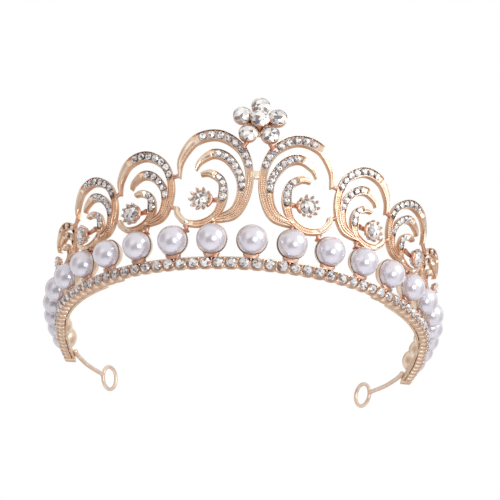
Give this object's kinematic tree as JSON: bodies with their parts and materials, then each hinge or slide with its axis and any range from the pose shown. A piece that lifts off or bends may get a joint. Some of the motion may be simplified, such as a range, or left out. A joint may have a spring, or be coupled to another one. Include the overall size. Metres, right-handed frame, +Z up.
{
  "type": "tiara",
  "caption": "Gold-plated horseshoe tiara with a row of pearls, openwork scrolls set with clear stones and a stone flower on top.",
  "frame": {"origin": "middle of the bounding box at its underside: on the tiara's plane of symmetry, in the plane that the band and the hair loops rest on", "axes": "+Z up, the front of the tiara faces -Y, the open back and the hair loops are towards +Y, and +X is the wearer's left"},
  "size_m": [0.1652, 0.1676, 0.059],
  "materials": {
    "gold_plate": "polished champagne to rose gold plate, with a little orange solder at the joints",
    "pearl": "white pearl lustre with a faint lavender cast",
    "rhinestone": "clear foil-backed glass brilliants"
  },
  "bodies": {
    "root": {"pearl_01": "pearl", "pearl_02": "pearl", "pearl_03": "pearl", "pearl_04": "pearl", "pearl_05": "pearl", "pearl_06": "pearl", "pearl_07": "pearl", "pearl_08": "pearl", "pearl_09": "pearl", "pearl_10": "pearl", "pearl_11": "pearl", "pearl_12": "pearl", "pearl_13": "pearl", "pearl_14": "pearl", "pearl_15": "pearl", "pearl_16": "pearl", "pearl_17": "pearl", "pearl_18": "pearl", "pearl_19": "pearl", "pearl_20": "pearl", "pearl_21": "pearl", "pearl_22": "pearl", "pearl_23": "pearl", "pearl_gallery": "gold_plate", "stone_band": "gold_plate", "inner_strip_left": "gold_plate", "hair_loop_left": "gold_plate", "scroll_left_1": "gold_plate", "claw_setting_left_1": "gold_plate", "claw_stone_left_1": "rhinestone", "scroll_left_2": "gold_plate", "claw_setting_left_2": "gold_plate", "claw_stone_left_2": "rhinestone", "scroll_left_3": "gold_plate", "claw_setting_left_3": "gold_plate", "claw_stone_left_3": "rhinestone", "scroll_left_4": "gold_plate", "claw_setting_left_4": "gold_plate", "claw_stone_left_4": "rhinestone", "inner_strip_right": "gold_plate", "hair_loop_right": "gold_plate", "scroll_right_1": "gold_plate", "claw_setting_right_1": "gold_plate", "claw_stone_right_1": "rhinestone", "scroll_right_2": "gold_plate", "claw_setting_right_2": "gold_plate", "claw_stone_right_2": "rhinestone", "scroll_right_3": "gold_plate", "claw_setting_right_3": "gold_plate", "claw_stone_right_3": "rhinestone", "scroll_right_4": "gold_plate", "claw_setting_right_4": "gold_plate", "claw_stone_right_4": "rhinestone", "flower_setting": "gold_plate", "flower_stone_top": "rhinestone", "flower_stone_upper_left": "rhinestone", "flower_stone_lower_left": "rhinestone", "flower_stone_lower_right": "rhinestone", "flower_stone_upper_right": "rhinestone", "flower_stone_centre": "rhinestone"}
  },
  "joints": []
}
